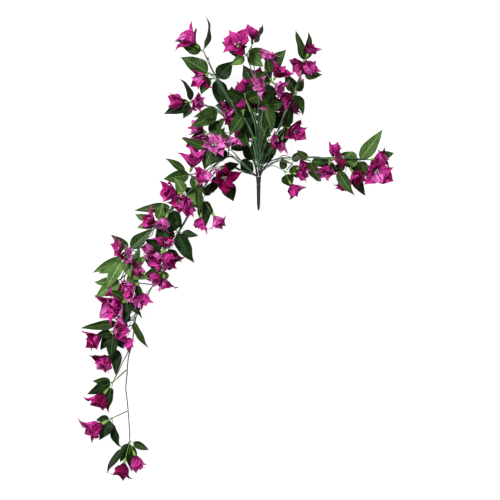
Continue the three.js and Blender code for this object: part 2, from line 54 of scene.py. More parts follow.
PICK = {
    "x": 17, "z": 5.6,      # axis, which lies along Y
    "tip": 79, "shoulder": 132, "head": 147,
    "neck_radius": 3.3, "sleeve_radius": 4.2, "head_radius": 5.4,
}
STEM_START = 148.1          # Y of a wire's foot at the pick's head
GAP = 0.3                   # between solids that touch
TWIG_RADIUS = 0.9
TWIG_SWEEP = 0.35           # how far a twig leans along its stem, for each mm of reach
LEAF_WIDEST = 0.4           # where a leaf is widest, as a share of its length
LEAF_SINK = 2               # mm from a leaf's root to the middle of its node
BRACT_LENGTH = 35           # of a blossom of size 1, as the next two
BRACT_WIDTH = 26
CALYX_LENGTH = 11
BRACT_WIDEST = 0.52         # where a bract is widest, as a share of its length
BLOOM_MIDDLE = 0.35         # from a blossom's throat to its middle, for each mm of bract
BLOOM_RISE = 12             # mm that an upright blossom stands above its node
BLOOM_LOWEST = 9            # mm; height of a blossom of size 1 that rests on the table
SPREAD = 0.32               # a blossom opens by this share of its pitch as well
FACE_UP = 0.5               # a blade whose face rises more than this can lie on the table
FLOOR = 0.9                 # lowest middle line of a leaf that lies on the table
TRIES = (0, 1, -1, 2, -2, 3, -3, 4, -4, 5, -5)      # steps of tilt or lift, in order
LEAF_TILT = 11              # degrees in a step
BLOOM_LIFT = 9              # mm in a step
TWIG_LIFT = 4               # mm in a step
SEAT_STEP = 2               # mm between the places on a stem where a twig can start

# Stems: radius at foot and tip, and the route of the wire.
STEMS = {
    "crown_left": [1.2, 0.9, [[15.5, 148.1, 9.2], [8, 182, 30], [-3, 212, 44], [-21, 262, 58],
        [-52, 320, 60], [-75, 360, 56], [-84, 384, 52]]],
    "crown_middle": [1.2, 0.9, [[18.6, 148.1, 9.2], [17, 178, 34], [18, 222, 62], [17, 292, 90],
        [12, 322, 92], [2, 358, 88], [-5, 382, 84]]],
    "crown_fork": [1.0, 0.8, [[14, 322.5, 92.9], [23, 338, 93], [29, 350, 91]]],
    "crown_right": [1.2, 0.9, [[20.6, 148.1, 7.1], [28, 176, 24], [38, 198, 36], [59, 247, 58],
        [86, 308, 62], [98, 334, 58], [106, 362, 50]]],
    "crown_back": [1.2, 0.9, [[18.5, 148.1, 2], [24, 176, 7], [28, 216, 11], [26, 262, 13],
        [18, 306, 14]]],
    "crown_low_left": [1.2, 0.9, [[15.7, 148.1, 2], [4, 184, 8], [-18, 224, 14], [-40, 256, 20],
        [-58, 276, 24], [-84, 288, 26], [-102, 293, 26]]],
    "trail_arch_front": [1.3, 1.1, [[13.4, 148.1, 7.1], [-6, 163, 22], [-26, 179, 36],
        [-42, 187, 42], [-58, 181, 44], [-78, 158, 42], [-98, 139, 40], [-118, 120, 38],
        [-129, 106, 36]]],
    "trail_left": [1.1, 0.9, [[-129.4, 105.7, 35.9], [-150, 86, 42], [-172, 66, 48], [-196, 38, 52],
        [-214, 14, 52], [-236, -18, 46], [-250, -42, 38], [-258, -60, 30]]],
    "trail_arch_back": [1.3, 1.1, [[13.5, 148.1, 4], [-12, 157, 9], [-30, 166, 14], [-46, 169, 16],
        [-64, 161, 16], [-84, 138, 16]]],
    "trail_upper": [1.2, 1.2, [[-84.3, 137.6, 16], [-102, 112, 16], [-116, 84, 16], [-132, 52, 16],
        [-148, 26, 17], [-162, 2, 18], [-178, -36, 18], [-190, -64, 18]]],
    "trail_lower": [1.2, 1.2, [[-190.3, -64.4, 18], [-206, -92, 19], [-220, -116, 20],
        [-229, -140, 20], [-235, -184, 18], [-243, -216, 16], [-246, -252, 14]]],
    "trail_end": [1.2, 1.1, [[-246, -252.5, 14], [-248, -276, 13], [-245, -304, 13],
        [-242, -340, 13], [-240, -372, 14]]],
    "right_branch": [1.2, 0.9, [[20.6, 148.1, 4.1], [29, 165, 11], [39, 176, 18], [54, 181, 22],
        [84, 184, 26], [124, 184, 28], [166, 184, 28], [190, 183, 28], [212, 179, 28]]],
}

# Sprays of foliage: the stem that carries each, its tufts, and its sweep where that isn't
# TWIG_SWEEP. A tuft is the place of its node, its leaves [heading, petiole, length, width, roll]
# and its blossoms [heading, reach, pitch, size]. Headings are degrees in plan from +X, roll is
# degrees about the leaf and is drawn from the dice where it is left out, pitch is degrees up
# from the plan, size is a factor.
SPRAYS = {
    "crown_tip_left": ["crown_left", [
        [[-93, 396, 52], [[74, 4, 68, 26, 72], [154, 6, 58, 26, 68], [166, 5, 44, 24]],
          [[140, 40, 18, 1.45]]]]],
    "crown_left_high": ["crown_left", [
        [[-82, 352, 62], [[149, 3, 64, 34], [250, 8, 40, 24]], [[217, 20, 32, 1]]]], 0.8],
    "crown_left_mid": ["crown_left", [
        [[-66, 342, 40], [[46, 3, 46, 32], [-80, 3, 60, 28], [-64, 8, 56, 26, 30]],
          [[185, 26, 13, 0.8]]]], 1.2],
    "crown_top": ["crown_middle", [
        [[-7, 387, 90], [[152, 4, 54, 28], [215, 6, 34, 20], [6, 4, 46, 28], [-34, 5, 38, 24]],
          [[129, 28, 58, 1.35]]],
        [[3, 404, 78], [[57, 10, 50, 24, 66]], [[83, 28, 3, 1.05]]]]],
    "crown_top_right": ["crown_fork", [
        [[31, 354, 92], [[47, 4, 58, 32], [225, 4, 38, 24]], [[80, 30, 20, 0.95]]],
        [[44, 332, 104], [[100, 20, 36, 22]],
          [[59, 24, 36, 1], [-32, 20, 26, 0.95], [196, 26, 26, 1]]]], 0.8],
    "crown_tip_right": ["crown_right", [
        [[107, 374, 56], [[101, 5, 64, 24, 40], [73, 5, 58, 24, 42], [-24, 4, 30, 16]],
          [[60, 32, 18, 1], [210, 15, 34, 1.05]]],
        [[102, 350, 62], [[-4, 7, 36, 20]], [[33, 17, 22, 1.05]]]]],
    "crown_right_mid": ["crown_right", [
        [[91, 312, 50], [[-66, 5, 42, 20], [60, 5, 30, 18], [118, 4, 44, 24]],
          [[214, 20, 23, 0.95]]]]],
    "crown_edge_left": ["crown_low_left", [
        [[-116, 295, 34], [[106, 4, 50, 22, 55], [203, 5, 58, 28], [243, 8, 32, 18]],
          [[178, 30, 13, 1.1], [-8, 14, 36, 1]]]]],
    "crown_side_left": ["crown_low_left", [
        [[-62, 274, 50], [[188, 3, 50, 26], [208, 6, 62, 28]], [[10, 16, 39, 0.75]]]], 1.2],
    "crown_low_left_spray": ["crown_low_left", [
        [[-84, 232, 36], [[205, 5, 44, 24], [40, 4, 44, 24]],
          [[148, 24, 23, 1], [248, 16, 50, 1], [218, 36, 12, 1.15]]]], 1.5],
    "crown_foot_left": ["trail_arch_front", [
        [[-76, 200, 62], [[160, 12, 56, 18], [60, 5, 50, 24], [248, 4, 42, 26]],
          [[56, 12, 70, 1]]]], 0.5],
    "crown_foot_mid": ["trail_arch_front", [
        [[-42, 200, 66], [[117, 3, 58, 22], [215, 6, 44, 26]], [[80, 16, 42, 0.8]]]], 0.1],
    "crown_heart_high": ["crown_middle", [
        [[-8, 298, 70], [[155, 6, 44, 26], [20, 5, 44, 26]], [[108, 27, 13, 0.95]]],
        [[-14, 268, 62], [[235, 4, 50, 26], [160, 5, 42, 24], [-70, 5, 44, 24]],
          [[98, 22, 15, 0.8]]]], 2],
    "crown_heart_front": ["crown_middle", [
        [[27, 284, 72], [[97, 4, 54, 22], [58, 4, 42, 26], [-70, 6, 48, 34], [10, 6, 40, 24]],
          []]], 1.5],
    "crown_heart_low": ["crown_back", [
        [[10, 270, 30], [[150, 4, 52, 28], [60, 4, 50, 28], [-30, 5, 46, 26], [220, 5, 44, 26]],
          [[95, 26, 6, 1]]]], 1.2],
    "crown_heart_right": ["crown_middle", [
        [[52, 288, 46], [[20, 4, 40, 24], [140, 4, 42, 26]],
          [[-37, 20, 36, 0.95], [200, 18, 32, 0.8]]]], 2],
    "crown_right_low": ["crown_right", [
        [[70, 246, 42], [[-100, 5, 40, 24], [70, 5, 42, 24], [160, 5, 40, 24]],
          [[-24, 22, 45, 1.05], [-104, 40, 6, 0.9]]]], 1.2],
    "crown_front_low": ["crown_middle", [
        [[34, 218, 40], [[-60, 5, 36, 22], [110, 5, 46, 28]], [[0, 16, 26, 0.8]]],
        [[2, 226, 38], [[200, 4, 52, 28], [95, 4, 50, 28], [330, 5, 50, 26]], []]], 1.2],
    "crown_foot_front": ["crown_middle", [
        [[8, 176, 16], [[212, 5, 40, 34], [30, 5, 56, 30], [120, 5, 44, 24], [75, 6, 44, 26]],
          []]]],
    "crown_back_high": ["crown_back", [
        [[12, 322, 20], [
          [120, 4, 54, 30], [50, 4, 54, 30], [200, 5, 46, 26], [-10, 5, 48, 28], [260, 5, 46, 26]],
          [[85, 26, 0, 1]]]]],
    "crown_back_left": ["crown_back", [
        [[-24, 282, 16], [
          [110, 4, 50, 28], [170, 5, 44, 26], [250, 5, 48, 28], [60, 5, 46, 26], [-30, 6, 44, 24]],
          [[235, 28, 20, 0.9]]]], 1.2],
    "crown_back_right": ["crown_back", [
        [[66, 276, 14], [[60, 4, 50, 28], [-75, 4, 40, 24], [130, 5, 46, 26], [220, 6, 48, 28]],
          [[20, 24, 0, 1]]]], 1.2],
    "crown_back_low": ["crown_back", [
        [[0, 218, 12], [
          [200, 4, 50, 28], [140, 5, 46, 28], [20, 5, 40, 24], [80, 5, 48, 28], [-40, 5, 40, 24]],
          [[160, 24, 0, 0.9]]]]],
    "bend_left": ["trail_arch_front", [
        [[-120, 150, 50], [[143, 12, 50, 17, 30], [190, 2, 54, 28], [-52, 6, 44, 24]],
          [[75, 31, 26, 1.25]]],
        [[-104, 134, 56], [[-86, 10, 54, 16]], [[56, 14, 39, 1.15]]]]],
    "bend_right": ["trail_arch_back", [
        [[-58, 160, 32], [[-68, 28, 42, 30], [20, 5, 36, 20], [-112, 14, 38, 20]],
          [[-69, 20, 60, 1.25]]]]],
    "bend_low": ["trail_upper", [
        [[-94, 102, 30], [[-84, 5, 54, 28], [-58, 6, 38, 18], [60, 8, 34, 18], [150, 6, 42, 26]],
          [[-96, 50, 0, 1], [-57, 55, 14, 1]]]]],
    "bend_far_left": ["trail_left", [
        [[-130, 112, 48], [[-42, 6, 40, 24], [122, 4, 36, 24]],
          [[176, 31, 20, 1.25], [240, 18, 48, 1.05]]],
        [[-156, 86, 42], [[184, 4, 74, 20], [230, 6, 44, 18], [-70, 8, 44, 24]],
          [[-5, 30, 32, 1.1], [243, 38, 13, 1]]]]],
    "trail_left_high": ["trail_left", [
        [[-184, 56, 40], [[165, 24, 26, 14], [195, 5, 40, 20], [75, 6, 38, 20], [-60, 6, 40, 22]],
          [[172, 18, 31, 1]]]]],
    "trail_mid_high": ["trail_upper", [
        [[-145, 36, 34], [[-64, 4, 68, 32], [125, 4, 36, 28], [-10, 10, 36, 16], [202, 6, 50, 26]],
          []]]],
    "trail_mid_bloom": ["trail_upper", [
        [[-171, 0, 44], [[210, 5, 34, 18], [108, 6, 44, 22], [-30, 6, 38, 20], [150, 6, 42, 20]],
          [[232, 23, 32, 1.15], [-67, 20, 20, 1.15], [74, 16, 36, 0.9], [180, 30, 20, 0.9]]]]],
    "trail_left_mid": ["trail_left", [
        [[-240, 1, 40], [[141, 4, 46, 18], [44, 4, 60, 26]], [[170, 24, 26, 1]]],
        [[-251, -14, 58], [
          [207, 5, 68, 22], [240, 12, 66, 26], [-72, 6, 40, 22], [217, 14, 48, 22]],
          [[10, 8, 39, 0.8]]]]],
    "trail_left_low": ["trail_left", [
        [[-257, -58, 56], [[216, 5, 62, 28], [190, 8, 50, 20]], []],
        [[-254, -70, 24], [], [[189, 18, 14, 1]]],
        [[-243, -44, 48], [[61, 4, 50, 24], [-17, 4, 44, 22], [40, 20, 32, 16], [-62, 5, 38, 22]],
          [[16, 18, 29, 0.95]]]]],
    "trail_mid_low": ["trail_upper", [
        [[-173, -38, 36], [[-94, 4, 28, 24], [30, 5, 30, 18], [150, 6, 42, 22], [200, 6, 40, 20]],
          [[231, 25, 26, 1], [-83, 32, 10, 1]]]]],
    "trail_knot": ["trail_lower", [
        [[-222, -66, 42], [[-92, 5, 46, 18, 30], [100, 6, 34, 20], [214, 5, 46, 20]],
          [[207, 20, 39, 1.15], [-71, 34, 3, 0.95]]]]],
    "trail_wide": ["trail_lower", [
        [[-246, -100, 46], [[-44, 4, 46, 16], [150, 6, 42, 22], [-92, 6, 46, 22]],
          [[207, 30, 29, 1.6], [-6, 20, 26, 0.8]]]]],
    "trail_long_leaf": ["trail_lower", [
        [[-233, -140, 38], [[163, 5, 32, 18], [-67, 4, 62, 18, 35], [190, 34, 76, 20]], []]]],
    "trail_three": ["trail_lower", [
        [[-272, -162, 40], [
          [-96, 6, 56, 24], [196, 6, 38, 18], [-62, 6, 40, 20], [-126, 6, 44, 22]],
          [[203, 42, 20, 1.15], [12, 12, 39, 1.1], [-38, 36, 6, 0.9]]],
        [[-266, -194, 30], [[-91, 5, 54, 22]], [[231, 40, 20, 1.25]]]]],
    "trail_end_left": ["trail_lower", [
        [[-274, -264, 22], [[176, 5, 38, 18], [206, 6, 54, 24], [-102, 12, 52, 22, 35]],
          [[234, 46, 16, 1.35]]]]],
    "trail_end_low": ["trail_end", [
        [[-276, -336, 22], [[241, 6, 46, 26], [-77, 12, 56, 22, 40], [185, 6, 30, 16]],
          [[211, 42, 16, 1.5]]]]],
    "trail_tip": ["trail_end", [
        [[-240, -381, 22], [
          [-86, 8, 58, 24], [231, 22, 60, 18, 30], [-26, 8, 38, 16], [-114, 6, 44, 22]],
          [[-104, 62, 10, 1.2], [-71, 46, 0, 1.1]]]]],
    "right_foot": ["right_branch", [
        [[84, 172, 40], [[-70, 4, 30, 24], [60, 5, 26, 16]], []],
        [[69, 155, 34], [[-66, 5, 30, 26], [100, 6, 28, 16]],
          [[-62, 41, 18, 1.05], [-8, 34, 20, 0.85], [16, 40, 32, 0.85]]]], 1],
    "right_mid": ["right_branch", [
        [[118, 178, 52], [[-64, 4, 60, 24], [-10, 5, 34, 16], [140, 6, 30, 16]], []]]],
    "right_high": ["right_branch", [
        [[162, 180, 42], [[-60, 28, 58, 24], [200, 5, 34, 18], [-102, 5, 40, 26]],
          [[246, 24, 23, 1], [70, 20, 10, 0.95], [0, 14, 39, 0.75]]]], 1],
    "right_tip_low": ["right_branch", [
        [[194, 172, 26], [[-62, 22, 56, 22], [205, 5, 36, 18]],
          [[-103, 48, 6, 0.85], [-55, 32, 26, 1]]]]],
    "right_tip": ["right_branch", [
        [[219, 180, 36], [
          [52, 2, 76, 29, 12], [190, 4, 42, 24], [160, 6, 38, 20], [-112, 5, 38, 24],
          [-68, 4, 36, 22]],
          []],
        [[240, 180, 44], [[17, 16, 36, 20], [-40, 8, 34, 18]],
          [[11, 22, 20, 1.05], [-62, 28, 72, 1.3]]]]],
}

# ---- Vectors and dice ----

UP = np.array([0.0, 0.0, 1.0])


def vec(x, y, z):
    return np.array([x, y, z], float)


def unit(v):
    return v / np.linalg.norm(v)


def dice(seed):
    """Park and Miller's generator, as in the solids: the same seed gives the same plant."""
    state = seed * 7919 + 104729

    def roll():
        nonlocal state
        state = state * 16807 % 2147483647
        return state / 2147483647

    roll()
    roll()
    return roll


def between(roll, low, high):
    return low + (high - low) * roll()


def pointing(heading, pitch):
    h, p = math.radians(heading), math.radians(pitch)
    return vec(math.cos(p) * math.cos(h), math.cos(p) * math.sin(h), math.sin(p))


def facing(along, turn):
    """Directions across and out of the face of a blade that lies along `along`."""
    level = vec(-along[1], along[0], 0)
    level = unit(level) if np.linalg.norm(level) >= 1e-3 else vec(0, 1, 0)
    upright = np.cross(along, level)
    t = math.radians(turn)
    side = level * math.cos(t) + upright * math.sin(t)
    return side, np.cross(along, side)


def turned(v, axis, angle):
    """v turned about a unit axis."""
    return (v * math.cos(angle) + np.cross(axis, v) * math.sin(angle)
            + axis * axis.dot(v) * (1 - math.cos(angle)))


def smooth_line(points, per_piece):
    """Points on a smooth curve through the given ones, made as the solids' curves are."""
    p = [np.array(q, float) for q in points]
    p = [2 * p[0] - p[1]] + p + [2 * p[-1] - p[-2]]
    line = [p[1]]
    for i in range(len(p) - 3):
        a, b, c, d = p[i:i + 4]
        n = per_piece(b, c)
        for k in range(1, n + 1):
            t = k / n
            line.append(0.5 * (2 * b + (c - a) * t + (2 * a - 5 * b + 4 * c - d) * t * t
                               + (3 * b - a - 3 * c + d) * t ** 3))
    return line


def spaced(step, fewest=1):
    """As many pieces from b to c as make each about a step long."""
    return lambda b, c: max(fewest, round(float(np.linalg.norm(c - b)) / step))


def middle_line(route, step):
    """The middle line of a wire, with a point at about each step of its length."""
    return smooth_line(route, spaced(step))


# ---- Meshes ----

METRES = 0.001              # in a millimetre
CENTIMETRE = 10             # mm; a limb's grain counts them along its length
THIN_FLOOR = FLOOR * 0.4    # lowest place of the thin blades

pick_low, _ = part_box("stem_pick")
OFFSET = vec(*pick_low) * 1000 - vec(PICK["x"] - PICK["head_radius"], PICK["tip"],
                                     PICK["z"] - PICK["head_radius"])


class Sheaf:
    """Gathers grids of points of one kind into one mesh. A tone is a number of its material."""

    def __init__(self):
        self.points, self.faces, self.uvs, self.tones, self.count = [], [], [], [], 0

    def grid(self, points, uv, tone=0, closed=False, caps=False):
        """Adds a grid of rows x columns; `closed` joins its last column to its first."""
        rows, cols = points.shape[:2]
        self.points.append(points.reshape(-1, 3))
        index = np.arange(rows * cols).reshape(rows, cols) + self.count
        nxt = np.roll(index, -1, axis=1)
        last = cols if closed else cols - 1
        a, b = index[:-1, :last], nxt[:-1, :last]
        c, d = nxt[1:, :last], index[1:, :last]
        quads = np.stack([a, b, c, d], -1).reshape(-1, 4)
        self.faces.extend(quads.tolist())
        flat = uv.reshape(-1, 2)
        self.uvs.append(flat[(quads - self.count).reshape(-1)])
        self.tones.extend([tone] * len(quads))
        if caps:
            for ring in (index[0][::-1], index[-1]):
                self.faces.append(ring.tolist())
                self.uvs.append(flat[ring - self.count])
                self.tones.append(tone)
        self.count += rows * cols

    def make(self, name, materials, slot, stands_for):
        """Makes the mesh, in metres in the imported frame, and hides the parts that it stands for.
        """
        mesh = bpy.data.meshes.new(name)
        points = (np.concatenate(self.points) + OFFSET) * METRES
        mesh.from_pydata(points.tolist(), [], self.faces)
        layer = mesh.uv_layers.new(name="grain")
        layer.data.foreach_set("uv", np.concatenate(self.uvs).astype(np.float32).ravel())
        for material in materials:
            mesh.materials.append(material)
        mesh.polygons.foreach_set("material_index", self.tones)
        mesh.polygons.foreach_set("use_smooth", [True] * len(self.faces))
        mesh.update()
        piece = bpy.data.objects.new(name, mesh)
        bpy.context.scene.collection.objects.link(piece)
        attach(piece, "root")
        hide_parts(*stands_for)


def tube(sheaf, line, radii, sides, tone=0, ribs=0.0, rib_count=0):
    """A round limb along a line, with a radius at each point; `ribs` is their share of it."""
    line = np.array(line)
    along = np.gradient(line, axis=0)
    along /= np.linalg.norm(along, axis=1)[:, None]
    across = vec(1, 0, 0) if abs(along[0][2]) > 0.9 else UP
    turns = np.arange(sides) * 2 * math.pi / sides
    rings = []
    for point, direction, radius in zip(line, along, radii):
        across = unit(across - direction * across.dot(direction))
        beside = np.cross(direction, across)
        r = radius * (1 + ribs * np.cos(rib_count * turns))
        rings.append(point + np.outer(r * np.cos(turns), across)
                     + np.outer(r * np.sin(turns), beside))
    lengths = np.concatenate([[0], np.cumsum(np.linalg.norm(np.diff(line, axis=0), axis=1))])
    uv = np.stack(np.meshgrid(np.linspace(0, 1, sides), lengths / CENTIMETRE), -1)
    sheaf.grid(np.array(rings), uv, tone, closed=True, caps=True)


def settle(points):
    """What would pass through the table lies on it."""
    points[..., 2] = np.maximum(points[..., 2], THIN_FLOOR)
    return points


# ---- Growth, by the rule of the solids ----

def coarse_corners(blade, widest):
    """The corners that the solid blade has: its tip and the edges of its widest part."""
    side, face, length, half = blade["side"], blade["face"], blade["length"], blade["width"] / 2

    def middle(distance):
        return (blade["root"] + blade["along"] * distance
                - face * blade["arch"] * length * (distance / length) ** 2)

    points = [middle(length)]
    points += [middle(widest) + side * s * half + face * blade["fold"] * half for s in (1, -1)]
    if face[2] > FACE_UP:
        for point in points:
            point[2] = max(point[2], FLOOR)
    return points


def leaf_plan(node, row, roll, tilt):
    """One leaf, tilted by so many steps, and the corners of its solid."""
    heading, petiole, length, width = row[:4]
    turn = row[4] if len(row) > 4 else between(roll, -22, 22)
    along = pointing(heading, between(roll, -10, 16) + tilt * LEAF_TILT)
    side, face = facing(along, turn)
    blade = {
        "root": node - LEAF_SINK * along, "along": along, "side": side, "face": face,
        "length": petiole + length, "petiole": petiole, "width": width,
        "arch": between(roll, 0.02, 0.16), "fold": between(roll, 0.1, 0.4),
    }
    return blade, coarse_corners(blade, petiole + length * LEAF_WIDEST)


def blossom_plan(node, row, roll, lift):
    """The three bracts of one blossom, lifted by so many steps, and the corners of their solids."""
    heading, reach, pitch, size = row
    axis = pointing(heading, pitch)
    back = BRACT_LENGTH * BLOOM_MIDDLE * size * math.cos(math.radians(pitch))
    centre = node + pointing(heading, 0) * (reach - back)
    rise = BLOOM_RISE * math.sin(math.radians(pitch))
    centre[2] += between(roll, -3, 5) + rise + lift * BLOOM_LIFT
    centre[2] = max(centre[2], BLOOM_LOWEST * size)
    side, face = facing(axis, between(roll, 0, 360))
    bracts, corners = [], []
    for k in range(3):
        turn = math.radians(120 * k + between(roll, -14, 14))
        opening = math.radians(between(roll, 26, 48) + SPREAD * pitch)
        out = side * math.cos(turn) + face * math.sin(turn)
        along = axis * math.cos(opening) + out * math.sin(opening)
        across = np.cross(axis, out)
        length = BRACT_LENGTH * size * between(roll, 0.88, 1.14)
        width = BRACT_WIDTH * size * between(roll, 0.85, 1.05)
        bract = {
            "root": centre - 2 * size * axis + 0.5 * size * out, "along": along,
            "side": across, "face": np.cross(along, across), "length": length, "width": width,
            "arch": between(roll, -0.2, 0.12), "fold": between(roll, 0.25, 0.6),
        }
        bracts.append(bract)
        corners += coarse_corners(bract, length * BRACT_WIDEST)
    plan = {"node": node, "axis": axis, "centre": centre, "size": size, "bracts": bracts,
            "side": side, "face": face}
    return plan, corners


MATCH = 0.35                # mm between a corner as grown and as packed
SHARE_FOUND = 0.5           # of a blade's corners, as fusing can bury some
TWIG_REACH = 3.0            # mm; no corner of the right twig is further from its middle
TWIG_GAIN = 0.3             # mm by which a further step has to be nearer


def corner_tree(name):
    """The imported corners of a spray, in millimetres of the plan."""
    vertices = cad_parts[name].data.vertices
    tree = kdtree.KDTree(len(vertices))
    for vertex in vertices:
        tree.insert(Vector(np.array(vertex.co) * 1000 - OFFSET), vertex.index)
    tree.balance()
    return tree


def settled_plan(tree, plan, node, row, seed):
    """The plan at the step that the solids settled on, or None where they left it out."""
    best, best_share = None, SHARE_FOUND
    for step in TRIES:
        made, corners = plan(node, row, dice(seed), step)
        share = sum(tree.find(Vector(c))[2] < MATCH for c in corners) / len(corners)
        if share > best_share:
            best, best_share = made, share
    return best


def nearest_point(line, node):
    """The number of the point of a line that is nearest to a node, and how near it is."""
    reaches = [float(np.linalg.norm(p - node)) for p in line]
    return reaches.index(min(reaches)), min(reaches)


def seat(stem, node, sweep):
    """Where on its stem a twig starts: the point, the stem's direction and its radius."""
    foot, tip, route = STEMS[stem]
    line = middle_line(route, SEAT_STEP)
    nearest, reach = nearest_point(line, node)
    back = int(reach * sweep / SEAT_STEP + 0.5)
    i = min(max(nearest - back, 1), len(line) - 2)
    along = unit(line[i + 1] - line[i - 1])
    return line[i], along, foot + (tip - foot) * i / (len(line) - 1)


def twig_line(stem, node, sweep):
    """A straight twig from just outside its stem to its node."""
    point, along, radius = seat(stem, node, sweep)
    reach = node - point
    lean = abs(unit(reach).dot(along))
    outward = unit(reach - along * reach.dot(along))
    start = point + outward * (radius + GAP + TWIG_RADIUS * lean)
    return [start, (start + node) / 2, node]


def settled_twig(tree, stem, node, sweep):
    """The twig's line, raised at its middle as the solids raised it."""
    start, middle, end = twig_line(stem, node, sweep)
    best, nearest = middle, TWIG_REACH
    for step in TRIES:
        raised = middle + UP * step * TWIG_LIFT
        gap = tree.find(Vector(raised))[2]
        if gap < nearest - TWIG_GAIN:
            best, nearest = raised, gap
    return [start, best, end]


# ---- Blades in fine detail ----

TURN = 6.28                 # radians, for waves and the dice
LEAF_GRID = (26, 13)        # rows along a blade and columns across it
BRACT_GRID = (20, 17)
LEAF_VEINS = 7              # pairs of side veins
BRACT_VEINS = 8
VEIN_SLOPE = 0.3            # how far side veins run on towards the tip
VEIN_HEIGHT = 0.2           # mm
MIDRIB_DEPTH = 0.28         # mm
MIDRIB_WIDTH = 0.7          # mm
CURL_START = 0.72           # share of a blade's length
LEAF_PEAK = 0.319           # of the curve in leaf_outline, about its highest
PETIOLE_DROP = 0.35         # mm that a petiole lies under its blade
PETIOLE_RADII = [0.85, 0.8, 0.75, 0.7, 0.6, 0.4]


def blade_grid(blade, grid, outline, start, cup, wave, veins, curl, roll, pleat=0.0):
    """A thin blade on the solid's own middle line, with veins, wavy edges and a curled tip.

    It begins `start` mm from its root. Its fold rises towards its edges by the power `cup`, and
    `wave` is the flutter of its edges as a share of half its width. `pleat` is in mm."""
    t = np.linspace(0, 1, grid[0]) ** 0.92
    s = np.linspace(-1, 1, grid[1])
    length = blade["length"]
    reach = start + (length - start) * t
    half = outline(t) * blade["width"] / 2
    phase, beat = between(roll, 0, TURN), between(roll, 1.1, 2.2)
    tt, ss = np.meshgrid(t, s, indexing="ij")
    edge = np.abs(ss)
    across = half[:, None] * ss
    lift = blade["fold"] * half[:, None] * edge ** cup
    flutter = np.sin(beat * TURN * tt + phase + 1.9 * np.sign(ss))
    lift += wave * half[:, None] * edge ** 2.2 * flutter
    lift -= MIDRIB_DEPTH * np.exp(-(across / MIDRIB_WIDTH) ** 2)
    ridges = np.cos(TURN * (veins * (tt - VEIN_SLOPE * edge)))
    lift += VEIN_HEIGHT * ridges * edge * (1 - edge) * 4 * np.minimum(1, half[:, None] / 4)
    if pleat:
        folds = between(roll, 2.2, 3.4)
        creases = np.cos(TURN * folds * (ss + 0.12 * np.sin(5 * tt + phase)))
        lift += pleat * creases * np.sin(math.pi * np.minimum(1, tt * 1.15)) ** 0.5
    lift -= curl * length * np.maximum(0, tt - CURL_START) ** 2 * 3
    drop = blade["arch"] * length * (reach[:, None] / length) ** 2
    points = (blade["root"] + reach[:, None, None] * blade["along"]
              + across[..., None] * blade["side"]
              + (lift - drop)[..., None] * blade["face"])
    return points, np.stack([ss * 0.5 + 0.5, tt], -1)


def leaf_outline(t):
    """A leaf's width along it, as a share of its widest: broad near its foot, with a long tip."""
    return (t + 0.004) ** 0.6 * (1 - t) ** 1.2 / LEAF_PEAK


def bract_outline(t):
    """A bract's width along it, as a share of its widest."""
    return np.interp(t, [0, 0.12, 0.28, 0.44, 0.58, 0.7, 0.82, 0.92, 1],
                     [0.2, 0.48, 0.86, 1, 0.88, 0.62, 0.34, 0.14, 0.0])


def open_outline(t):
    """A bract of a blossom that faces up, spread flat and broader towards its tip."""
    return np.interp(t, [0, 0.12, 0.3, 0.5, 0.66, 0.79, 0.89, 0.95, 1],
                     [0.2, 0.45, 0.83, 1, 0.92, 0.62, 0.26, 0.1, 0.0])


def petiole_line(blade):
    """The stalk of a leaf, under the middle line of its blade."""
    reach = np.linspace(0, 1, len(PETIOLE_RADII)) * (blade["petiole"] + 2 * LEAF_SINK)
    drop = blade["arch"] * blade["length"] * (reach / blade["length"]) ** 2
    return (blade["root"] + reach[:, None] * blade["along"]
            - drop[:, None] * blade["face"] - PETIOLE_DROP * blade["face"])


# ---- The bush ----

leaves, crown_bracts, trail_bracts, florets = Sheaf(), Sheaf(), Sheaf(), Sheaf()
twigs, stems, pick = Sheaf(), Sheaf(), Sheaf()

# Tones of leaves and bracts, of twigs, of wires and of florets.
DARK, MID, LIGHT = 0, 1, 2
WOOD, LIME = 0, 1
DARKENED, PLAIN, DEEP = 0, 1, 2
STAR, TUBE = 0, 1

LEAF_TONES = (0.2, 0.58)    # limits between dark and mid, and between mid and light
BLOOM_TONES = (0.12, 0.82)
# Painted light and shade by height: higher leaves and blossoms tend to the light tone, lower ones
# to the dark.
TONE_HEIGHT = {"leaf": 140, "blossom": 120}     # mm up that count as 1 towards light
DARKER, LIGHTER = 0.15, 0.8     # a bract's draw is below or above these for another shade

# Seeds of the dice for what only the looks have.
LOOKS_SEED = 9000
WIRE_SEED = 20000
TENDRIL_SEEDS = (30000, 31000)
TINT_SEED = 31

TRAIL_SPRAYS = [name for name in SPRAYS if name.startswith(("bend", "trail"))]
HIGH_STEMS = ("crown_left", "crown_middle", "crown_right", "trail_left", "right_branch")
SINGLE_STEMS = ("trail_lower", "trail_end")     # with no second wire wound about them
FACING = 0.6                # a blossom whose axis rises more than this is open to the camera
FULL = 1.15                 # a blossom larger than this has one more whorl
RAGGED = 0.18               # share by which an outer bract can be shorter than its solid
STALK_RADIUS = 0.62         # mm, of a blossom's stalk
CALYX_PLACES = [0.0, 0.18, 0.42, 0.68, 0.88, 1.0]   # along a calyx, as shares of its length
CALYX_RADII = [0.9, 1.7, 2.4, 2.5, 2.2, 1.6]        # there, in mm, for a blossom of size 1
FLORET_RADII = [0.7, 0.95, 1.15, 1.05, 0.85, 1.0]
STAR_RINGS = [[0.5, -0.6], [0.9, 0.2], [1.5, 0.7], [2.1, 0.6]]      # radius and rise, mm
LOBE = 0.32                 # depth of a star's lobes, as a share of its radius
WOODY = 0.62                # share of a twig before it turns lime
KNOB_FROM = 0.86            # share of a twig before its end swells
TENDRIL_RADIUS = 0.7
TWIN_RADIUS = 0.8           # of the wire wound about a stem
TWIN_GAP = 1.2              # mm between its middle line and the stem's, at least
WIRE_STEP = 4               # mm between points along a wire
TWIG_STEP = 3
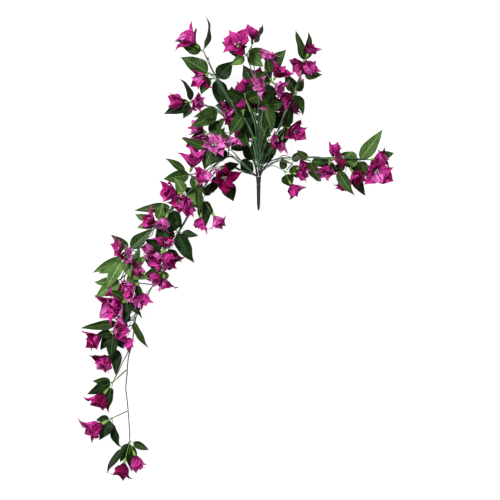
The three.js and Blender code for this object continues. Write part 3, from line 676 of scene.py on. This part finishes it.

# Sprays whose leaves or blossoms are lighter or darker than their height alone makes them: painted
# light and shade, given for each spray.
LEAF_PAINTED_LIGHT = {"crown_side_left": -0.3, "crown_heart_front": -0.35, "crown_heart_right": -0.3,
              "crown_heart_high": -0.3, "crown_top_right": -0.3, "crown_foot_mid": -0.2,
              "crown_low_left_spray": -0.1, "bend_left": 0.1, "trail_left_high": 0.2,
              "trail_left_mid": 0.22, "trail_left_low": 0.25, "trail_mid_high": -0.1,
              "trail_three": -0.3, "trail_long_leaf": -0.15, "right_tip": 0.15}
BLOOM_PAINTED_LIGHT = {"crown_top": -0.3, "bend_left": -0.15, "bend_right": -0.55,
               "crown_tip_right": 0.1, "right_tip": 0.25, "right_high": 0.1,
               "right_foot": 0.2, "trail_tip": -0.4, "trail_wide": -0.1, "trail_mid_bloom": 0.1,
               "crown_foot_mid": 0.2, "crown_edge_left": 0.15, "bend_far_left": 0.2}


def tone_of(chance, limits):
    """The tone for a chance, by its two limits."""
    return DARK if chance < limits[0] else MID if chance < limits[1] else LIGHT


def add_leaf(blade, roll, shade):
    """A leaf and its stalk; higher leaves tend to be lighter, as painted light, and lower ones
    darker, as painted shade.
    """
    points, uv = blade_grid(blade, LEAF_GRID, leaf_outline, start=blade["petiole"] + LEAF_SINK,
                            cup=1.2, wave=0.15, veins=LEAF_VEINS,
                            curl=between(roll, -0.3, 0.9), roll=roll)
    # Painted light and shade: the tone rises with the leaf's height, and the spray's painted light
    # is added.
    chance = between(roll, -0.3, 0.3) + points[..., 2].mean() / TONE_HEIGHT["leaf"] + shade
    leaves.grid(settle(points), uv, tone_of(chance, LEAF_TONES))
    tube(twigs, petiole_line(blade), PETIOLE_RADII, 6, WOOD)


tints = dice(TINT_SEED)


def near_shade(tone):
    """Now and then a bract is one shade lighter or darker than its blossom."""
    chance = tints()
    if chance > LIGHTER:
        return min(LIGHT, tone + 1)
    return max(DARK, tone - 1) if chance < DARKER else tone


def add_bract(bracts, bract, roll, tone, outline):
    """A bract with wavy edges; the pleats of a small one are flatter."""
    points, uv = blade_grid(bract, BRACT_GRID, outline, start=0, cup=2.0,
                            wave=between(roll, 0.14, 0.28), veins=BRACT_VEINS,
                            curl=between(roll, -0.3, 1.7), roll=roll,
                            pleat=between(roll, 0.3, 0.6) * (bract["length"] / BRACT_LENGTH) ** 2)
    bracts.grid(settle(points), uv, near_shade(tone))


def add_floret(centre, axis, out, size, roll):
    """A slim tube with a small five-lobed star at its mouth."""
    lean = unit(axis + out * between(roll, 0.1, 0.32))
    length = between(roll, 9, 12) * size
    foot = centre + out * 1.2
    line = [foot + lean * length * k / 5 for k in range(6)]
    tube(florets, line, FLORET_RADII, 8, TUBE)
    side, face = facing(lean, between(roll, 0, 72))
    turns = np.arange(20) * math.pi / 10
    star = 1 + LOBE * np.cos(5 * turns)
    rings = []
    for reach, rise in STAR_RINGS:
        ring = np.outer(np.cos(turns) * reach * star, side) \
            + np.outer(np.sin(turns) * reach * star, face)
        rings.append(line[-1] + lean * rise + ring)
    uv = np.stack(np.meshgrid(np.linspace(0, 1, len(turns)),
                              np.linspace(0, 1, len(rings))), -1)
    florets.grid(settle(np.array(rings)), uv, STAR, closed=True, caps=True)


def add_blossom(bracts, plan, roll, shade):
    """A blossom: its outer bracts, the whorls inside them, its stalk, calyx and florets."""
    axis, centre, size = plan["axis"], plan["centre"], plan["size"]
    # Painted light and shade: a higher blossom tends to a lighter tone and a lower one to a darker,
    # and the spray's painted light is added.
    chance = between(roll, -0.3, 0.3) + centre[2] / TONE_HEIGHT["blossom"] + shade
    tone = tone_of(chance, BLOOM_TONES)
    outline = open_outline if axis[2] > FACING else bract_outline
    for bract in plan["bracts"]:
        ragged = dict(bract, length=bract["length"] * (1 - RAGGED * tints() ** 2))
        add_bract(bracts, ragged, roll, tone, outline)
    whorls = (2 if roll() < 0.45 else 1) + (size > FULL)
    if outline is open_outline:         # but the dice are thrown all the same
        whorls = 1
    for whorl in range(whorls):         # closer whorls, each inside the last
        for bract in plan["bracts"]:
            turn = math.radians(between(roll, 40, 80) + 60 * whorl)
            inner = dict(bract)
            inner["along"] = turned(unit(bract["along"] + axis * (0.4 + 0.7 * whorl)), axis, turn)
            inner["side"] = unit(np.cross(axis, inner["along"]))
            inner["face"] = np.cross(inner["along"], inner["side"])
            inner["length"] *= between(roll, 0.75, 0.98) - 0.2 * whorl
            inner["width"] *= 0.85 - 0.15 * whorl
            add_bract(bracts, inner, roll, tone, outline)
    foot = centre - axis * CALYX_LENGTH * size
    stalk = smooth_line([plan["node"], (plan["node"] + foot) / 2 + UP * 0.8, foot,
                         foot + axis * CALYX_LENGTH * size * 0.3], lambda b, c: 4)
    tube(twigs, stalk, [STALK_RADIUS] * len(stalk), 6, LIME)
    body = [foot + axis * CALYX_LENGTH * size * place for place in CALYX_PLACES]
    tube(twigs, body, [r * size for r in CALYX_RADII], 10, LIME, ribs=0.08, rib_count=5)
    for k in range(3):
        angle = math.radians(120 * k + between(roll, -25, 25))
        out = plan["side"] * math.cos(angle) + plan["face"] * math.sin(angle)
        add_floret(centre, axis, out, size, roll)


def add_twig(line):
    """A twig, woody at its foot, then lime, with a knob at its end."""
    points = smooth_line(line, spaced(TWIG_STEP, 2))
    cut = max(1, int(len(points) * WOODY))
    share = np.linspace(0, 1, len(points))
    radii = TWIG_RADIUS * (1.25 + 0.8 * np.maximum(0, share - KNOB_FROM) / 0.14)
    tube(twigs, points[:cut + 1], radii[:cut + 1], 7, WOOD)
    tube(twigs, points[cut:], radii[cut:], 7, LIME)


def add_tendril(stem, node, roll):
    """A thin side wire that leaves its stem early and runs free beside it to a node."""
    line = middle_line(STEMS[stem][2], WIRE_STEP)
    nearest, _ = nearest_point(line, node)
    run = round(between(roll, 14, 26))
    first = max(3, nearest - run)
    if nearest - first < 5:
        return
    rise = between(roll, 20, 70) if stem in HIGH_STEMS else 0
    side, face = facing(unit(line[first + 1] - line[first - 1]), 0)
    lean = side * between(roll, -1, 1) + face * between(roll, 0.6, 1.6)
    points = [line[first] + lean]
    for share in (0.3, 0.6, 0.85):
        beside = line[round(first + (nearest - first) * share)]
        bow = lean * between(roll, 3, 7) * (1 - share) + UP * rise * share * (1 - share)
        points.append(beside + bow + (node - line[nearest]) * share ** 2)
    points.append(node)
    route = smooth_line(points, spaced(WIRE_STEP, 2))
    tube(stems, settle(np.array(route)), [TENDRIL_RADIUS] * len(route), 6, PLAIN)


BLOSSOM, LEAF_KIND = 1, 2   # as the seeds of the solids count them

for number, (name, spray) in enumerate(SPRAYS.items()):
    stem, tufts, sweep = spray if len(spray) > 2 else spray + [TWIG_SWEEP]
    tree = corner_tree(name)
    bracts = trail_bracts if name in TRAIL_SPRAYS else crown_bracts
    first = vec(*tufts[0][0])
    for t, (node, leaf_rows, blossom_rows) in enumerate(tufts):
        node = vec(*node)
        add_twig(settled_twig(tree, stem, node, sweep) if t == 0
                 else [first, (first + node) / 2, node])
        if stem != "trail_end":
            for base in TENDRIL_SEEDS:
                add_tendril(stem, node, dice(number * 10 + t + base))
        for kind, plan, rows in ((BLOSSOM, blossom_plan, blossom_rows),
                                 (LEAF_KIND, leaf_plan, leaf_rows)):
            for e, row in enumerate(rows):
                seed = number * 100 + t * 40 + kind * 15 + e
                made = settled_plan(tree, plan, node, row, seed)
                if made is None:
                    continue
                roll = dice(seed + LOOKS_SEED)
                if kind == BLOSSOM:
                    add_blossom(bracts, made, roll, BLOOM_PAINTED_LIGHT.get(name, 0))
                else:
                    add_leaf(made, roll, LEAF_PAINTED_LIGHT.get(name, 0))

# The wires: each has a second, thinner one wound loosely about it, save the single ones.
for number, (name, (foot, tip, route)) in enumerate(STEMS.items()):
    line = middle_line(route, WIRE_STEP)
    roll = dice(number + WIRE_SEED)
    share = np.linspace(0, 1, len(line))
    grain = np.array([between(roll, -0.05, 0.05) for _ in line])
    from_pick = route[0][1] == STEM_START
    single = name in SINGLE_STEMS
    tube(stems, line, (foot + (tip - foot) * share) * (1 + grain), 12,
         DARKENED if from_pick else DEEP if single else PLAIN)
    if single:
        continue
    wander, winding = between(roll, 2.0, 3.4), between(roll, 1.5, 3.0)
    phase = between(roll, 0, TURN)
    twin = []
    for i, point in enumerate(line[:int(len(line) * 0.9)]):
        along = unit(line[i + 1] - line[max(i - 1, 0)])
        side, face = facing(along, 0)
        angle = phase + i * WIRE_STEP * winding / 25    # winding: radians in 25 mm
        out = side * math.cos(angle) + face * math.sin(angle) * 0.6
        spread = min(1, i / 4) * wander * (1.2 + math.sin(i * 0.21 + phase))
        twin.append(point + out * (TWIN_GAP + spread))
    tube(stems, twin, [TWIN_RADIUS] * len(twin), 6, DARKENED if from_pick else PLAIN)

# The pick, turned about its axis: places along Y and the radius at each.
TIP, SHOULDER, HEAD = PICK["tip"], PICK["shoulder"], PICK["head"]
PROFILE = [[TIP, 0.6], [TIP + 1.2, 1.8], [TIP + 4, 2.4], [TIP + 12, PICK["neck_radius"]],
           [SHOULDER - 3, 4.1], [SHOULDER - 2, PICK["sleeve_radius"]], [SHOULDER - 1.6, 3.8],
           [SHOULDER, 3.8], [SHOULDER + 1, 4.1], [HEAD - 6, 4.9],
           [HEAD - 1, PICK["head_radius"]], [HEAD, 5.1]]
tube(pick, [vec(PICK["x"], y, PICK["z"]) for y, _ in PROFILE], [r for _, r in PROFILE], 40)


# ---- Materials ----

SINE_TURN = 6.2832          # radians, for waves in a shader
SIDE_VEINS = 0.55           # how strongly they show beside the midrib
# Scales of the noise in the cloth's mottle, its crinkles and its weave, and in plastic's skin.
MOTTLE, CRINKLE, WEAVE, MOULDED = 70.0, 190.0, 1600.0, 900.0
CLOTH_DEPTH, PLASTIC_DEPTH = 0.0003, 0.0002     # m, of their bumps


def linear(hexed):
    """A colour written as on a screen, as the shader wants it."""
    parts = [int(hexed[i:i + 2], 16) / 255 for i in (0, 2, 4)]
    return [c / 12.92 if c <= 0.04045 else ((c + 0.055) / 1.055) ** 2.4 for c in parts] + [1.0]


class Shader:
    """A principled material and the few nodes that it is made with."""

    def __init__(self, name, roughness, **sockets):
        self.material = bpy.data.materials.new(name)
        self.material.use_nodes = True
        self.nodes = self.material.node_tree.nodes
        self.links = self.material.node_tree.links
        self.principled = self.nodes["Principled BSDF"]
        self.principled.inputs["Roughness"].default_value = roughness
        for socket, value in sockets.items():
            self.principled.inputs[socket.replace("_", " ")].default_value = value

    def node(self, kind, inputs=(), **settings):
        """A node; each of its inputs is a value or another node's output."""
        made = self.nodes.new(kind)
        for key, value in settings.items():
            setattr(made, key, value)
        for socket, value in dict(inputs).items():
            if isinstance(value, bpy.types.NodeSocket):
                self.links.new(value, made.inputs[socket])
            else:
                made.inputs[socket].default_value = value
        return made

    def math(self, operation, *values):
        """One step of arithmetic on numbers or outputs."""
        return self.node("ShaderNodeMath", dict(enumerate(values)), operation=operation).outputs[0]

    def grain(self):
        """The place across and along a blade, each 0 to 1."""
        uv = self.node("ShaderNodeUVMap", uv_map="grain").outputs[0]
        parts = self.node("ShaderNodeSeparateXYZ", {0: uv})
        return parts.outputs[0], parts.outputs[1]

    def noise(self, scale, detail=3.0, where=None):
        """Noise in the mesh's own metres, or over a place that is given."""
        where = where or self.node("ShaderNodeTexCoord").outputs["Object"]
        return self.node("ShaderNodeTexNoise", {"Vector": where, "Scale": scale,
                                                "Detail": detail}).outputs[0]

    def streaks(self, u, v):
        """Noise drawn out along a blade, and different on each: the painted light and shade of a
        bract's crinkles.
        """
        where = self.node("ShaderNodeTexCoord").outputs["Object"]
        place = self.node("ShaderNodeSeparateXYZ", {0: where}).outputs[0]
        drawn = self.node("ShaderNodeCombineXYZ", {
            0: self.math("MULTIPLY", u, 11.0), 1: self.math("MULTIPLY", v, 1.1),
            2: self.math("MULTIPLY", place, 12.0)}).outputs[0]
        return self.noise(1.0, 2.0, drawn)

    def ramp(self, value, low, high):
        """Where a value lies between two limits, 0 to 1."""
        return self.node("ShaderNodeMapRange", {0: value, 1: low, 2: high},
                         clamp=True).outputs[0]

    def mixed(self, share, a, b):
        """Colour a where the share is 0, and b where it is 1."""
        return self.node("ShaderNodeMix", {0: share, 6: a, 7: b}, data_type="RGBA").outputs[2]

    def colour(self, value):
        self.links.new(value, self.principled.inputs["Base Color"])

    def bump(self, height, distance, strength):
        made = self.node("ShaderNodeBump", {"Height": height, "Distance": distance,
                                            "Strength": strength})
        self.links.new(made.outputs[0], self.principled.inputs["Normal"])


def cloth(name, low, high, vein, beats, vein_share, heart=None):
    """Printed cloth: a mottled colour, a midrib and side veins, and a fine weave. A bract has a
    darker heart at its foot, painted shade deep in its blossom, and its mottle is drawn out
    along the bract in marks of painted light and shade, as of crinkled cloth."""
    roughness, gloss = (0.64, 0.07) if heart else (0.52, 0.14)
    s = Shader(name, roughness, Specular_IOR_Level=gloss)
    u, v = s.grain()
    # How far a place is from the midrib, 0 to 1 at the edge.
    off = s.math("MULTIPLY", s.math("ABSOLUTE", s.math("SUBTRACT", u, 0.5)), 2.0)
    midrib = s.ramp(off, 0.09, 0.03)
    along = s.math("SUBTRACT", v, s.math("MULTIPLY", off, VEIN_SLOPE))
    wave = s.math("SINE", s.math("MULTIPLY", along, beats * SINE_TURN))
    veins = s.math("MULTIPLY", s.ramp(wave, 0.82, 1.0), SIDE_VEINS)
    lines = s.math("MULTIPLY", s.math("MAXIMUM", midrib, veins), vein_share)
    mottle = s.ramp(s.noise(MOTTLE), 0.34, 0.66)
    # In a bract the mottle becomes painted light and shade: long marks of painted highlight and
    # shade, as of crinkled cloth.
    if heart:
        mottle = s.math("MULTIPLY", s.ramp(s.streaks(u, v), 0.4, 0.62),
                        s.math("ADD", s.math("MULTIPLY", mottle, 0.5), 0.5))
    ground = s.mixed(mottle, linear(low), linear(high))
    # Painted shade: a bract grows darker towards its foot, deep in its blossom.
    if heart:
        ground = s.mixed(s.ramp(v, 0.42, 0.02), ground, linear(heart))
    s.colour(s.mixed(lines, ground, linear(vein)))
    crinkle = s.math("MULTIPLY", s.noise(CRINKLE, 2.0), 4.0)
    s.bump(s.math("ADD", crinkle, s.noise(WEAVE, 1.0)), CLOTH_DEPTH, 0.5)
    return s.material


def plastic(name, low, high, roughness, scale, foot=False):
    """Moulded plastic in two mottled colours. With `foot`, the first is that of a limb's first
    centimetres, so that a wire is nearly black near the pick and lighter further on."""
    s = Shader(name, roughness)
    mottle = s.noise(scale)
    if foot:
        reach = s.math("ADD", s.grain()[1], s.math("MULTIPLY", mottle, 3.0))
        share = s.ramp(reach, 3.0, 11.0)
    else:
        share = s.ramp(mottle, 0.35, 0.65)
    s.colour(s.mixed(share, linear(low), linear(high)))
    s.bump(s.noise(MOULDED, 2.0), PLASTIC_DEPTH, 0.4)
    return s.material


# Leaves come in three tones, drawn partly at random and partly as painted light and shade by height
# and spray.
LEAF = [cloth("leaf_dark", "0a1b05", "153008", "36562a", 7, 0.7),
        cloth("leaf_mid", "182d0a", "2c4915", "6c8c4a", 7, 0.7),
        cloth("leaf_light", "385a20", "587c36", "a8c886", 7, 0.7)]
# The second colour of each bract is a painted highlight, mixed with the first in marks of painted
# light and shade, and the last is the painted shade of its heart.
BRACT = [cloth("bract_dark", "5c0228", "a00a60", "3a021c", 9, 0.5, "360220"),
         cloth("bract_mid", "86024a", "f652c6", "5c0232", 9, 0.5, "4c032e"),
         cloth("bract_light", "a80a70", "ff9ef0", "7c0858", 9, 0.5, "640642")]
FLORET = [plastic("floret_star", "e6e0cc", "f4f0e2", 0.6, 60.0),
          plastic("floret_tube", "8a3c66", "a86a88", 0.6, 60.0)]
TWIG = [plastic("twig_green", "1f2e18", "2e4424", 0.55, 60.0),
        plastic("twig_lime", "6c9434", "8fb94e", 0.5, 60.0)]
STEM = [plastic("stem_green", "0d160f", "425f40", 0.5, 50.0, foot=True),
        plastic("stem_pale", "2c4732", "5c8458", 0.5, 50.0),
        plastic("stem_deep", "17261b", "38543c", 0.5, 50.0)]
PICK_GREEN = [plastic("pick_green", "060b07", "0a120c", 0.5, 40.0)]

SPRAY_NODES = list(SPRAYS)
leaves.make("leaves", LEAF, "foliage", SPRAY_NODES)
crown_bracts.make("crown_bracts", BRACT, "blossom",
                  [name for name in SPRAYS if name not in TRAIL_SPRAYS])
trail_bracts.make("trail_bracts", BRACT, "blossom", TRAIL_SPRAYS)
florets.make("florets", FLORET, "blossom", SPRAY_NODES)
twigs.make("twigs", TWIG, "foliage", SPRAY_NODES)
stems.make("wire_stems", STEM, "stem_plastic", list(STEMS))
pick.make("pick", PICK_GREEN, "pick_plastic", ["stem_pick"])


# ---- Floor, light and camera ----

WHITE = (1, 1, 1, 1)
HALF_FLOOR = 30             # m
FLOOR_TOP = -0.0005         # m, just under the plant
HALF_VIEW = 0.5             # m seen to each side of the plan's origin
HALF_SENSOR = 18            # mm

floor = bpy.data.meshes.new("floor")
floor.from_pydata([(x * HALF_FLOOR, y * HALF_FLOOR, FLOOR_TOP)
                   for x, y in ((-1, -1), (1, -1), (1, 1), (-1, 1))], [], [(0, 1, 2, 3)])
floor.materials.append(Shader("floor_white", 0.9, Base_Color=(0.25, 0.25, 0.25, 1),
                              Emission_Color=WHITE, Emission_Strength=0.93).material)
ground = bpy.data.objects.new("floor", floor)
bpy.context.scene.collection.objects.link(ground)


def area_light(name, place, size, energy):
    """A lamp that faces the frame's origin."""
    lamp = bpy.data.lights.new(name, "AREA")
    lamp.size, lamp.energy = size, energy
    holder = bpy.data.objects.new(name, lamp)
    holder.location = place
    holder.rotation_euler = (-Vector(place)).to_track_quat("-Z", "Y").to_euler()
    bpy.context.scene.collection.objects.link(holder)


area_light("key", (-1.1, 1.2, 2.4), 0.6, 88)
area_light("fill", (1.8, -0.9, 2.2), 1.6, 16)

world = bpy.context.scene.world or bpy.data.worlds.new("world")
bpy.context.scene.world = world
world.use_nodes = True
background = world.node_tree.nodes["Background"]
background.inputs["Color"].default_value = WHITE
background.inputs["Strength"].default_value = 0.2

camera = bpy.data.cameras.new("camera")
camera.sensor_width = 2 * HALF_SENSOR
camera.lens = 400
camera.clip_end = 60
eye = bpy.data.objects.new("camera", camera)
eye.location = (OFFSET[0] * METRES, OFFSET[1] * METRES, HALF_VIEW * camera.lens / HALF_SENSOR)
bpy.context.scene.collection.objects.link(eye)
bpy.context.scene.camera = eye
bpy.context.scene.view_settings.view_transform = "Standard"
